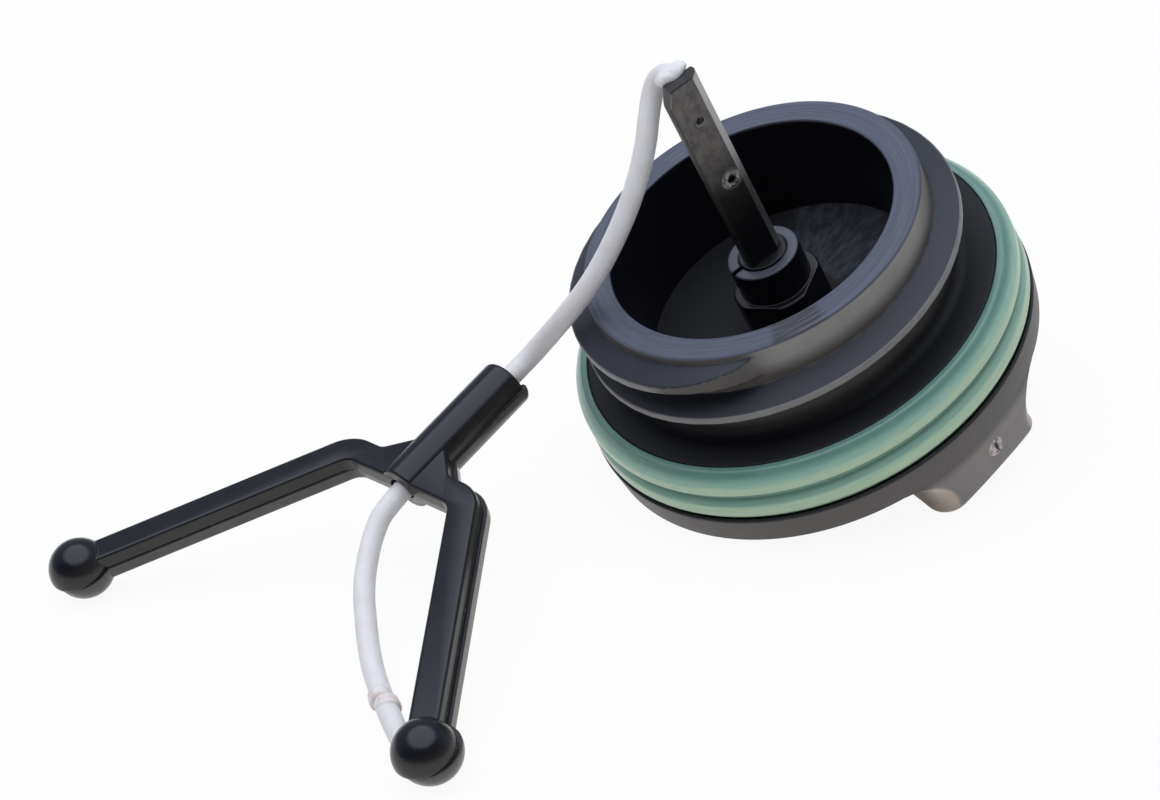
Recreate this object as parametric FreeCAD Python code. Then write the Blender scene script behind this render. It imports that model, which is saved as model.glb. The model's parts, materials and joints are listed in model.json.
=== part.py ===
# Screw-in fuel filler cap with its seal, swivelling tether and forked anchor.
# Millimetres, +Z up, standing on the surface where the object lies.
# The cap lies on its grip, mouth up, leaning on the edge of its disc.
# The two balls of the anchor lie on the same surface, and the cord lifts its sleeve.

import math
import os

import FreeCAD, Part
from FreeCAD import Vector, Placement, Rotation

# Cap, in its own frame: middle of the disc's outer face, +Z towards the mouth.
disc_radius = 23.0
disc_thickness = 3.2
disc_draft = 0.34
disc_edge_round = 0.15
recess_wall = 0.05
recess_depth = 0.3
rim_height = 19.65
rim_round = 0.35
neck_radius = 17.37
neck_wall = 2.9
neck_root_round = 1.2
seat_width = 2.05
seat_height = 9.0
lip_width = 0.45
lip_height = 0.8
lip_chamfer = 0.2
cup_floor_height = 8.0
cup_floor_round = 1.5
floor_thickness = 3.0
skirt_wall = 2.4
recess_radius = disc_radius - recess_wall
seat_radius = recess_radius - seat_width

# Thread: one raised start, right-handed.
thread_pitch = 4.0
thread_height = 2.48
thread_crest_width = 0.7
thread_flank_angle = 31.0
thread_start_angle = 222.0
thread_end_angle = -255.0
thread_start_height = 17.95
thread_run_in = 42.0
thread_embed = 0.6

# Grip bar across the outer face, scooped along both sides for the fingers.
grip_depth = 5.784
grip_neck_width = 13.4
grip_waist = 2.6
grip_root_radius = 3.0
grip_flare_radius = 4.2
grip_lobe_inset = 2.4
grip_end_taper = 0.9
grip_edge_round = 0.9
grip_turn = -2.0
grip_lobe_reach = disc_radius - grip_lobe_inset
gate_mark_radius = 0.55
gate_mark_height = 0.25
gate_mark_drop = 2.8
gate_mark_side = -0.25

# Socket in the middle of the cup that holds the swivel.
socket_radius = 3.65
socket_top_height = 16.0
socket_foot_radius = 4.5
socket_foot_height = 12.2
socket_foot_flat = 3.95
socket_foot_turn = 20.0
socket_chamfer = 0.25
swivel_radius = 2.45
swivel_clearance = 0.05
head_radius = 3.0
head_thickness = 1.9
head_chamfer = 0.5
head_gap = 0.3
collar_thickness = 4.3
slit_width = 0.6
slit_depth = 2.2
slit_angle = 165.0

# Seal ring with two rounded lips.
seal_fit = 0.05
seal_foot_gap = 0.35
seal_lip_overhang = 0.25
seal_groove_depth = 0.85
seal_top_inset = 1.15
seal_low_lip = 1.45
seal_high_lip = 1.65
seal_foot_radius = recess_radius - seal_foot_gap
seal_lip_radius = recess_radius + seal_lip_overhang
seal_groove_radius = seal_lip_radius - seal_groove_depth
seal_top_radius = seal_lip_radius - seal_top_inset

# Swivel stem, a flat bar above a round root.
stem_width = 4.1
stem_thickness = 2.4
stem_chamfer = 0.35
stem_top_height = 39.9
stem_turn = -101.7
stem_root_height = 17.3
stem_shoulder_drop = 0.9
stem_clip_width = 1.15
stem_clip_height = 1.9
gate_ring_radius = 0.8
gate_hole_radius = 0.4
gate_ring_height = 0.2
gate_hole_depth = 0.8
gate_position_height = 25.9
gate_position_side = 0.6
nick_height = 33.8
nick_length = 1.3
nick_width = 0.3
nick_depth = 0.3
nick_side = 0.5
nick_turn = 20.0

# Cord and the stop bead on its tail.
cord_diameter = 2.1
cord_seat_depth = 6.0
bead_radius = 1.6
bead_length = 3.2
bead_offset = 0.22
bead_round = 0.45

# Anchor fork, moulded in two halves that don't quite line up.
ball_radius = 3.1
ball_spread = 26.07
arm_width = 3.2
arm_thickness = 3.0
elbow_spread = 9.42
arm_edge_round = 0.35
crotch_inner = 22.5
crotch_width = 2.9
web_reach = 2.7
web_spread = 4.9
sleeve_radius = 2.5
sleeve_end = 38.3
sleeve_end_round = 0.5
sleeve_bore_radius = 1.35
sleeve_mouth_flare = 0.45
elbow_outer_round = 4.5
elbow_inner_round = 2.0
half_shift_along = 0.3
half_shift_across = -0.3
arm_slope = (ball_spread - elbow_spread) / crotch_inner

# Where the pieces stand.
cap_x = 23.5
cap_y = -9.9
fork_x = -40.45
fork_y = 4.02
fork_yaw = 1.9
fork_pitch = 17.0

cord_radius = cord_diameter / 2

# The surface touches the round on the disc's edge and the round on the grip's near lobe.
lobe_drop = grip_depth - grip_edge_round
lobe_inset = math.sqrt((grip_flare_radius + grip_edge_round) ** 2 - (lobe_drop - grip_root_radius) ** 2)
lobe_place = Vector(grip_neck_width / 2 + grip_flare_radius - lobe_inset, grip_lobe_reach, 0)
lobe_place = Rotation(Vector(0, 0, 1), grip_turn).multVec(lobe_place)
rest_across = disc_radius - disc_edge_round - lobe_place.x
rest_down = lobe_drop + disc_edge_round
rest_swing = math.asin((grip_edge_round - disc_edge_round) / math.hypot(rest_across, rest_down))
cap_tilt = math.degrees(math.atan2(rest_down, rest_across) + rest_swing)
cap_lean = math.radians(cap_tilt)
cap_z = (disc_radius - disc_edge_round) * math.sin(cap_lean) + disc_edge_round * (1 - math.cos(cap_lean))
cap_place = Placement(Vector(cap_x, cap_y, cap_z), Rotation(Vector(0, 1, 0), -cap_tilt))
fork_turn = Rotation(Vector(0, 0, 1), fork_yaw).multiply(Rotation(Vector(0, 1, 0), -fork_pitch))
fork_z = ball_radius - half_shift_along * math.sin(math.radians(fork_pitch))
fork_place = Placement(Vector(fork_x, fork_y, fork_z), fork_turn)

# The cord's route, from its seat in the stem, through the sleeve, to its tail.
cord_points = [
    Vector(10.55, -10.10, 43.40),
    Vector(11.36, -8.13, 44.34),
    Vector(11.55, -5.52, 43.14),
    Vector(10.27, -5.41, 40.30),
    Vector(8.48, -6.32, 37.50),
    Vector(6.64, -5.82, 33.28),
    Vector(4.39, -4.53, 28.78),
    Vector(2.24, -2.57, 24.46),
    Vector(0.55, 0.10, 20.90),
    Vector(0.30, 3.42, 17.50),
    Vector(-0.75, 4.65, 15.85),
    Vector(-2.52, 5.28, 14.67),
    Vector(-21.04, 4.66, 8.98),
    Vector(-23.40, 4.00, 7.50),
    Vector(-25.90, 2.40, 6.10),
    Vector(-28.30, 0.30, 4.80),
    Vector(-30.30, -2.20, 3.60),
    Vector(-32.40, -5.00, 2.60),
    Vector(-34.50, -8.40, 2.00),
    Vector(-37.70, -14.90, 1.62),
    Vector(-38.60, -17.20, 1.30),
]
bead_run = len(cord_points) - 3


def revolve(edges):
    """Solid of revolution about +Z from a closed outline in the XZ plane."""
    face = Part.Face(Part.Wire(edges))
    return face.revolve(Vector(0, 0, 0), Vector(0, 0, 1), 360)


def outline(points):
    """Edges of a closed outline. A point of three numbers is the middle of an arc."""
    corners = [Vector(p[0], 0, p[1]) for p in points]
    edges = []
    index = 0
    count = len(points)
    while index < count:
        start = corners[index]
        after = (index + 1) % count
        if len(points[after]) == 3:
            end = corners[(index + 2) % count]
            edges.append(Part.Arc(start, corners[after], end).toShape())
            index += 2
        else:
            edges.append(Part.LineSegment(start, corners[after]).toShape())
            index += 1
    return edges


def round_corner(corner_r, corner_z, radius, out_r, out_z):
    """Middle point of a quarter round whose corner points towards (out_r, out_z)."""
    inset = radius * (1 - math.sqrt(0.5))
    return (corner_r - out_r * inset, corner_z - out_z * inset, "arc")


def cylinder(radius, low, high):
    return Part.makeCylinder(radius, high - low, Vector(0, 0, low))


# Cap body: disc, seal seat, threaded neck and cup, turned as one outline.
def cap_shell():
    edge = disc_edge_round
    top_radius = disc_radius + disc_draft
    recess_top = disc_thickness - recess_depth
    lip_radius = seat_radius + lip_width
    lip_low = seat_height - lip_height
    inner = neck_radius - neck_wall
    root = neck_root_round
    floor = cup_floor_height
    bend = cup_floor_round
    rim = rim_round
    points = [
        (0, 0),
        (disc_radius - edge, 0),
        round_corner(disc_radius, 0, edge, 1, -1),
        (disc_radius, edge),
        (top_radius, disc_thickness),
        (recess_radius, disc_thickness),
        (recess_radius, recess_top),
        (seat_radius, recess_top),
        (seat_radius, lip_low),
        (lip_radius, lip_low + lip_width / 2),
        (lip_radius, seat_height - lip_chamfer),
        (lip_radius - lip_chamfer, seat_height),
        (neck_radius + root, seat_height),
        round_corner(neck_radius, seat_height, root, -1, -1),
        (neck_radius, seat_height + root),
        (neck_radius, rim_height - rim),
        round_corner(neck_radius, rim_height, rim, 1, 1),
        (neck_radius - rim, rim_height),
        (inner + rim, rim_height),
        round_corner(inner, rim_height, rim, -1, 1),
        (inner, rim_height - rim),
        (inner - 0.1, floor + bend),
        round_corner(inner - 0.1, floor, bend, 1, -1),
        (inner - 0.1 - bend, floor),
        (0, floor),
    ]
    return revolve(outline(points))


# One section of the thread at an angle, in the plane through the cap's axis.
def thread_section(angle, rise):
    height = thread_start_height + (angle - thread_start_angle) / 360 * thread_pitch
    crest = thread_crest_width / 2
    slope = math.tan(math.radians(thread_flank_angle))
    tip = neck_radius + thread_height * rise
    base = crest * rise + (thread_height * rise + thread_embed) * slope
    turn = math.radians(angle)
    corners = []
    for radius, offset in (
        (neck_radius - thread_embed, base),
        (tip, crest * rise + 0.02),
        (tip, -crest * rise - 0.02),
        (neck_radius - thread_embed, -base),
    ):
        corners.append(Vector(radius * math.cos(turn), radius * math.sin(turn), height + offset))
    return Part.makePolygon(corners + corners[:1])


def thread():
    step = 9.0
    count = round((thread_start_angle - thread_end_angle) / step)
    sections = []
    for index in range(count + 1):
        angle = thread_start_angle - index * step
        into = (thread_start_angle - angle) / thread_run_in
        out = (angle - thread_end_angle) / thread_run_in
        rise = max(0.04, math.sin(math.radians(90 * min(1.0, into, out))))
        sections.append(thread_section(angle, rise))
    return Part.makeLoft(sections, True, False)


# Grip bar: ends flush with the disc, and a long finger scoop down each side.
def grip():
    depth = grip_depth
    top = floor_underside()
    half = grip_neck_width / 2 + 2 * grip_root_radius
    block = Part.makeBox(2 * half, 2 * disc_radius, depth + top, Vector(-half, -disc_radius, -depth))
    ends = Part.makeCone(disc_radius - grip_end_taper, disc_radius, depth, Vector(0, 0, -depth))
    ends = ends.fuse(cylinder(seat_radius - skirt_wall / 2, -0.01, top))
    bar = block.common(ends)
    for side in (-1, 1):
        bar = bar.cut(finger_scoop(side))
    bar = bar.makeFillet(grip_edge_round, [edge for edge in bar.Edges if is_grip_edge(edge)])
    bar.rotate(Vector(0, 0, 0), Vector(0, 0, 1), grip_turn)
    return bar


# Wheel whose rounded edge scoops one side of the grip.
def finger_scoop(side):
    root = grip_root_radius
    flare = grip_flare_radius
    low = -grip_depth - 0.5
    high = floor_underside() + 1
    inset = flare - math.sqrt(flare ** 2 - (low + root) ** 2)
    middle = (low - root) / 2
    middle_inset = flare - math.sqrt(flare ** 2 - (middle + root) ** 2)
    wheel = (grip_lobe_reach ** 2 + grip_waist ** 2) / (2 * grip_waist)
    points = [
        (0, low),
        (wheel - inset, low),
        (wheel - middle_inset, middle, "arc"),
        (wheel, -root),
        round_corner(wheel, 0, root, 1, 1),
        (wheel - root, 0),
        (wheel - root, high),
        (0, high),
    ]
    cutter = revolve(outline(points))
    cutter.translate(Vector(side * (grip_neck_width / 2 - grip_waist + wheel), 0, 0))
    return cutter


def is_grip_edge(edge):
    """True for the edges round the grip's outer face, and the upright ones at its corners."""
    box = edge.BoundBox
    outer = box.ZMax < 0.01 - grip_depth
    upright = box.ZMax < 0.01 and box.ZLength > grip_depth - 0.05 and abs(box.Center.y) > disc_radius / 2
    return outer or upright


def floor_underside():
    return cup_floor_height - floor_thickness


# Two finger wells, one on each side of the grip.
def finger_wells():
    return cylinder(seat_radius - skirt_wall, -1, floor_underside()).cut(grip())


def socket():
    foot = cylinder(socket_foot_radius, cup_floor_height - 1, socket_foot_height)
    flat = 2 * socket_foot_flat
    block = Part.makeBox(flat, flat, socket_top_height, Vector(-flat / 2, -flat / 2, 0))
    block.rotate(Vector(0, 0, 0), Vector(0, 0, 1), socket_foot_turn)
    foot = foot.common(block)
    post = cylinder(socket_radius, cup_floor_height - 1, socket_top_height)
    top_edges = [edge for edge in post.Edges if edge.BoundBox.ZMin > socket_top_height - 0.01]
    post = post.makeChamfer(socket_chamfer, top_edges)
    return foot.fuse(post)


def socket_hollow():
    hole = cylinder(swivel_radius + swivel_clearance, cup_floor_height, socket_top_height + 1)
    ceiling = socket_top_height - collar_thickness
    low = ceiling - head_thickness - 2 * head_gap
    cavity = cylinder(head_radius + head_gap, low, ceiling)
    slit = Part.makeBox(2 * socket_radius, slit_width, slit_depth + 1)
    slit.translate(Vector(swivel_radius, -slit_width / 2, socket_top_height - slit_depth))
    slit.rotate(Vector(0, 0, 0), Vector(0, 0, 1), slit_angle)
    return hole.fuse(cavity).fuse(slit)


def gate_mark():
    face = disc_radius - grip_end_taper * gate_mark_drop / grip_depth
    start = Vector(gate_mark_side, 1 - face, -gate_mark_drop)
    return Part.makeCylinder(gate_mark_radius, gate_mark_height + 1, start, Vector(0, -1, 0))


def cap_body():
    shape = cap_shell().cut(finger_wells())
    for addition in (grip(), thread(), socket(), gate_mark()):
        shape = shape.fuse(addition)
    return shape.cut(socket_hollow()).Solids[0]


# Seal ring: stretched over the seat and held under its lip.
def seal_ring():
    low = disc_thickness - recess_depth
    inner = seat_radius + seal_fit
    lip = seat_radius + lip_width + seal_fit
    step = seat_height - lip_height - seal_fit
    middle = (low + seat_height) / 2
    points = [
        (inner, low),
        (seal_foot_radius, low),
        (seal_lip_radius, low + seal_low_lip, "arc"),
        (seal_groove_radius, middle),
        (seal_lip_radius, seat_height - seal_high_lip, "arc"),
        (seal_top_radius, seat_height),
        (lip, seat_height),
        (lip, step + lip_width / 2),
        (inner, step),
    ]
    return revolve(outline(points))


# Swivel stem: head, round root in the collar, and flat bar with a clipped end.
def swivel_stem():
    ceiling = socket_top_height - collar_thickness
    head_top = ceiling - head_gap
    head_low = head_top - head_thickness
    head = cylinder(head_radius, head_low, head_top)
    head = head.makeChamfer(head_chamfer, [edge for edge in head.Edges if edge.BoundBox.ZMax < head_low + 0.01])
    root = cylinder(swivel_radius, head_low, stem_root_height)
    half = stem_width / 2
    top = stem_top_height
    shoulder = top - stem_shoulder_drop
    low = stem_root_height - 1.0
    face = Part.Face(Part.makePolygon([
        Vector(-half, 0, low),
        Vector(half, 0, low),
        Vector(half, 0, top),
        Vector(-half + stem_clip_width, 0, shoulder),
        Vector(-half, 0, shoulder - stem_clip_height),
        Vector(-half, 0, low),
    ]))
    bar = face.extrude(Vector(0, stem_thickness, 0))
    bar.translate(Vector(0, -stem_thickness / 2, 0))
    long_edges = [edge for edge in bar.Edges if edge.BoundBox.ZLength > 15 and edge.BoundBox.XLength < 0.01]
    bar = bar.makeChamfer(stem_chamfer, long_edges)
    ring = Part.makeCylinder(gate_ring_radius, gate_ring_height + 0.5, Vector(0, 0, 0), Vector(0, -1, 0))
    ring.translate(Vector(gate_position_side, -stem_thickness / 2 + 0.5, gate_position_height))
    hole = Part.makeCylinder(gate_hole_radius, gate_hole_depth + 1, Vector(0, 0, 0), Vector(0, 1, 0))
    hole.translate(Vector(gate_position_side, -stem_thickness / 2 - 1, gate_position_height))
    nick = Part.makeBox(nick_length, 2 * nick_depth, nick_width, Vector(-nick_length / 2, -nick_depth, 0))
    nick.rotate(Vector(0, 0, 0), Vector(0, 1, 0), nick_turn)
    nick.translate(Vector(nick_side, -stem_thickness / 2, nick_height))
    bar = bar.fuse(ring).cut(hole).cut(nick)
    # The bar's broad face looks along -Y before it is turned.
    bar.rotate(Vector(0, 0, 0), Vector(0, 0, 1), stem_turn + 90)
    stem = head.fuse([root, bar])
    stem.Placement = cap_place
    first = cord_points[0]
    way = cord_points[1] - first
    seat = Part.makeCylinder(cord_radius, cord_seat_depth, first, way)
    return stem.cut(seat).removeSplitter()


# Path of straight runs joined by tangent arcs, and its length and radii.
def cord_path(points):
    edges = []
    radii = []
    start = points[0]
    for index in range(1, len(points) - 1):
        corner = points[index]
        before = points[index - 1] - corner
        after = points[index + 1] - corner
        turn = math.pi - before.getAngle(after)
        reach = 0.45 * min(before.Length, after.Length)
        radii.append(reach / math.tan(turn / 2))
        enter = corner + before.normalize() * reach
        leave = corner + after.normalize() * reach
        inward = (before + after).normalize()
        to_centre = radii[-1] / math.cos(turn / 2)
        middle = corner + inward * (to_centre - radii[-1])
        edges.append(Part.LineSegment(start, enter).toShape())
        edges.append(Part.Arc(enter, middle, leave).toShape())
        start = leave
    edges.append(Part.LineSegment(start, points[-1]).toShape())
    return Part.Wire(edges), radii


def tether_cord():
    path, radii = cord_path(cord_points)
    way = cord_points[1] - cord_points[0]
    circle = Part.Wire([Part.makeCircle(cord_radius, cord_points[0], way)])
    tube = path.makePipeShell([circle], True, True)
    expected = math.pi * cord_radius ** 2 * path.Length
    print("cord length", round(path.Length, 2), "volume ratio", round(tube.Volume / expected, 4))
    print("cord radii", [round(radius, 1) for radius in radii])
    return tube


# Stop bead: two short lumps on the cord, a little out of line with each other.
def cord_stop():
    start = cord_points[bead_run]
    end = cord_points[bead_run + 1]
    way = (end - start).normalize()
    middle = (start + end) * 0.5
    half = bead_length / 2
    lumps = []
    for side in (-1, 1):
        lump = cylinder(bead_radius - bead_offset / 2, 0, half + 0.2)
        lump = lump.makeFillet(bead_round, lump.Edges[:1] + lump.Edges[2:])
        lump.translate(Vector(side * bead_offset, 0, -0.1 if side > 0 else -half - 0.1))
        lumps.append(lump)
    bead = lumps[0].fuse(lumps[1])
    bead = bead.cut(cylinder(cord_radius, -bead_length, bead_length))
    bead.Placement = Placement(middle, Rotation(Vector(0, 0, 1), way))
    return bead


# Anchor fork in its own frame: +X along the sleeve, the ball line along Y.
def fork_arms():
    across = math.hypot(1, arm_slope)
    off_x = arm_width / 2 * arm_slope / across
    off_y = arm_width / 2 / across
    crotch_outer = crotch_inner + crotch_width
    outer_y = ball_spread + off_y - arm_slope * (crotch_outer - off_x)
    inner_y = ball_spread - off_y - arm_slope * (crotch_inner + off_x)
    one_side = [
        Vector(crotch_inner, inner_y, 0),
        Vector(-off_x, ball_spread - off_y, 0),
        Vector(off_x, ball_spread + off_y, 0),
        Vector(crotch_outer, outer_y, 0),
        Vector(crotch_outer, web_spread, 0),
        Vector(crotch_outer + web_reach, sleeve_radius - 0.4, 0),
    ]
    other_side = [Vector(p.x, -p.y, 0) for p in reversed(one_side)]
    corners = one_side + other_side
    plate = Part.Face(Part.makePolygon(corners + corners[:1])).extrude(Vector(0, 0, arm_thickness))
    plate.translate(Vector(0, 0, -arm_thickness / 2))
    upright = [edge for edge in plate.Edges if edge.BoundBox.ZLength > arm_thickness - 0.01]
    plate = plate.makeFillet(elbow_outer_round, near(upright, crotch_outer, outer_y))
    upright = [edge for edge in plate.Edges if edge.BoundBox.ZLength > arm_thickness - 0.01]
    plate = plate.makeFillet(elbow_inner_round, near(upright, crotch_inner, inner_y))
    flat = [edge for edge in plate.Edges if edge.BoundBox.ZLength < 0.01]
    return plate.makeFillet(arm_edge_round, flat)


def near(edges, x, y):
    """The edges that stand within a millimetre of (x, y) or its mirror image."""
    found = []
    for edge in edges:
        middle = edge.BoundBox.Center
        if abs(middle.x - x) < 1 and abs(abs(middle.y) - y) < 1:
            found.append(edge)
    return found


def anchor_fork():
    start = Vector(crotch_inner, 0, 0)
    sleeve = Part.makeCylinder(sleeve_radius, sleeve_end - crotch_inner, start, Vector(1, 0, 0))
    tip_edges = [edge for edge in sleeve.Edges if edge.BoundBox.XMin > sleeve_end - 0.01]
    sleeve = sleeve.makeFillet(sleeve_end_round, tip_edges)
    balls = [Part.makeSphere(ball_radius, Vector(0, side * ball_spread, 0)) for side in (-1, 1)]
    whole = fork_arms().fuse([sleeve] + balls)
    size = 100
    above = Part.makeBox(size, size, size, Vector(-size / 2, -size / 2, 0))
    below = Part.makeBox(size, size, size, Vector(-size / 2, -size / 2, -size))
    lower = whole.common(below)
    lower.translate(Vector(half_shift_along, half_shift_across, 0))
    fork = whole.common(above).fuse(lower)
    bore = Part.makeCylinder(sleeve_bore_radius, sleeve_end, Vector(crotch_inner / 2, 0, 0), Vector(1, 0, 0))
    flare = Part.makeCone(
        sleeve_bore_radius,
        sleeve_bore_radius + 2 * sleeve_mouth_flare,
        2 * sleeve_mouth_flare,
        Vector(sleeve_end - sleeve_mouth_flare, 0, 0),
        Vector(1, 0, 0),
    )
    fork = fork.cut(bore).cut(flare)
    fork.Placement = fork_place
    return fork


def placed(shape):
    shape.Placement = cap_place
    return shape


nodes = {
    "cap_body": placed(cap_body()),
    "seal_ring": placed(seal_ring()),
    "swivel_stem": swivel_stem(),
    "tether_cord": tether_cord(),
    "cord_stop": cord_stop(),
    "anchor_fork": anchor_fork(),
}

os.makedirs("parts", exist_ok=True)
for name, shape in nodes.items():
    box = shape.optimalBoundingBox(False)
    print(name, "solids", len(shape.Solids), "valid", shape.isValid(), "volume", round(shape.Volume, 1))
    print("  box", [round(v, 2) for v in (box.XMin, box.XMax, box.YMin, box.YMax, box.ZMin, box.ZMax)])
    shape.exportStep("parts/" + name + ".step")
print("tilt", round(cap_tilt, 3), "cap_z", round(cap_z, 3))
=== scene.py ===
# Screw-in filler cap with its seal, swivelling tether and forked anchor, laid on a pale table.

import json
import math

import bmesh
import bpy
from mathutils import Matrix, Vector, noise


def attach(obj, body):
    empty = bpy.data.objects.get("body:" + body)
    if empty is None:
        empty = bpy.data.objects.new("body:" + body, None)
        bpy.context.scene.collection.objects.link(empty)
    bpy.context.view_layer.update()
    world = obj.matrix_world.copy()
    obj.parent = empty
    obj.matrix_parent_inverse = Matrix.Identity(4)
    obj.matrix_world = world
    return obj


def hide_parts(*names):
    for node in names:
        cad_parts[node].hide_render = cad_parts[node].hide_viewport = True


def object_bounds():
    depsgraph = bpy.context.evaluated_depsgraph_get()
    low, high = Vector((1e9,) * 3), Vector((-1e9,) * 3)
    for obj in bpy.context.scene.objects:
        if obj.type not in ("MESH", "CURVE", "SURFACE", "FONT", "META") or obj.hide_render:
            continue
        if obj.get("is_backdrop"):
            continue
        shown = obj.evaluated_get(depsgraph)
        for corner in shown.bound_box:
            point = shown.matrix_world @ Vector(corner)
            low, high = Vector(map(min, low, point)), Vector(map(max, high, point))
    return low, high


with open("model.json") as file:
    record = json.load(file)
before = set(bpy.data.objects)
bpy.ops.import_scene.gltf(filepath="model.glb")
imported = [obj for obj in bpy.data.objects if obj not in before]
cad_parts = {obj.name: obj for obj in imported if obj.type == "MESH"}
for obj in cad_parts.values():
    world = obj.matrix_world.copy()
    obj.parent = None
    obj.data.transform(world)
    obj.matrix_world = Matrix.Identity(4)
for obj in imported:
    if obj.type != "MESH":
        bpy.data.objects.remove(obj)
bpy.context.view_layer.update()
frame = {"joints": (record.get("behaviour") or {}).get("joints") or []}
joints = {joint["name"]: joint for joint in frame["joints"]}
MM = 0.001


# The view: a long lens from the front left, looking down at the mouth of the cap.
# Its roll is that of the photograph, and its sharpness is the same all over.
view_place = Vector((-158.34, -207.58, 160.43)) * MM
view_right = Vector((0.7326, -0.6651, -0.1451))
view_back = Vector((-0.5283, -0.6899, 0.4949)).normalized()
view_focal_pixels = 3067.5
image_width = 1160
sensor_width = 36.0

view_right = (view_right - view_back * view_right.dot(view_back)).normalized()
view_up = view_back.cross(view_right)
camera = bpy.data.objects.new("camera", bpy.data.cameras.new("camera"))
bpy.context.scene.collection.objects.link(camera)
camera.data.sensor_width = sensor_width
camera.data.lens = view_focal_pixels / image_width * sensor_width
camera.data.clip_start = 0.01
camera.data.clip_end = 20.0
turn = Matrix((view_right, view_up, view_back)).transposed().to_4x4()
camera.matrix_world = Matrix.Translation(view_place) @ turn
bpy.context.scene.camera = camera


# Tether cord: one length of clear white nylon, about two millimetres thick.
# It is held in the stem's end, and runs through the fork's sleeve to its tail.
cord_diameter = 2.1 * MM
cord_points = [
    (0.01055, -0.01010, 0.04340),
    (0.01136, -0.00813, 0.04434),
    (0.01155, -0.00552, 0.04314),
    (0.01027, -0.00541, 0.04030),
    (0.00848, -0.00632, 0.03750),
    (0.00664, -0.00582, 0.03328),
    (0.00439, -0.00453, 0.02878),
    (0.00224, -0.00257, 0.02446),
    (0.00055, 0.00010, 0.02090),
    (0.00030, 0.00342, 0.01750),
    (-0.00075, 0.00465, 0.01585),
    (-0.00252, 0.00528, 0.01467),
    (-0.02104, 0.00466, 0.00898),
    (-0.02340, 0.00400, 0.00750),
    (-0.02590, 0.00240, 0.00610),
    (-0.02830, 0.00030, 0.00480),
    (-0.03030, -0.00220, 0.00360),
    (-0.03240, -0.00500, 0.00260),
    (-0.03450, -0.00840, 0.00200),
    (-0.03770, -0.01490, 0.00162),
    (-0.03860, -0.01720, 0.00130),
]


class Value:
    """A socket of a node tree. Arithmetic on it adds Math nodes."""

    def __init__(self, tree, socket):
        self.tree = tree
        self.socket = socket

    def math(self, operation, *others):
        return self.tree.node("ShaderNodeMath", {"operation": operation}, [self, *others])

    def __add__(self, other):
        return self.math("ADD", other)

    def __mul__(self, other):
        return self.math("MULTIPLY", other)

    def __sub__(self, other):
        return self.math("SUBTRACT", other)

    def __rsub__(self, other):
        return self.tree.node("ShaderNodeMath", {"operation": "SUBTRACT"}, [other, self])

    def __truediv__(self, other):
        return self.math("DIVIDE", other)

    def hypot(self, other):
        """The long side of the right triangle on two values."""
        return (self * self + other * other).math("SQRT")

    __radd__ = __add__
    __rmul__ = __mul__


class Tree:
    """A node tree, of a material, of the world or of a shape."""

    def __init__(self, nodes):
        self.nodes = nodes

    def node(self, kind, settings, inputs, output=0):
        node = self.nodes.nodes.new(kind)
        for name, value in settings.items():
            setattr(node, name, value)
        pairs = inputs.items() if isinstance(inputs, dict) else enumerate(inputs)
        for name, value in pairs:
            self.feed(node.inputs[name], value)
        return Value(self, node.outputs[output])

    def feed(self, socket, value):
        if isinstance(value, Value):
            self.nodes.links.new(value.socket, socket)
        else:
            socket.default_value = value

    def apart(self, vector):
        """The three numbers of a vector."""
        first = self.node("ShaderNodeSeparateXYZ", {}, [vector])
        outputs = first.socket.node.outputs
        return [Value(self, output) for output in outputs]

    def band(self, value, low, high):
        """0 below low, 1 above high, smooth between."""
        inputs = {"Value": value, "From Min": low, "From Max": high}
        return self.node("ShaderNodeMapRange", {"interpolation_type": "SMOOTHSTEP"}, inputs)

    def within(self, value, start, full, fade, end):
        """1 from full to fade, 0 before start and past end, smooth between."""
        return self.band(value, start, full) * (1 - self.band(value, fade, end))

    def blend(self, share, first, second):
        first = (*first, 1) if isinstance(first, tuple) else first
        second = (*second, 1) if isinstance(second, tuple) else second
        inputs = {0: share, 6: first, 7: second}
        return self.node("ShaderNodeMix", {"data_type": "RGBA"}, inputs, 2)


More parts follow.
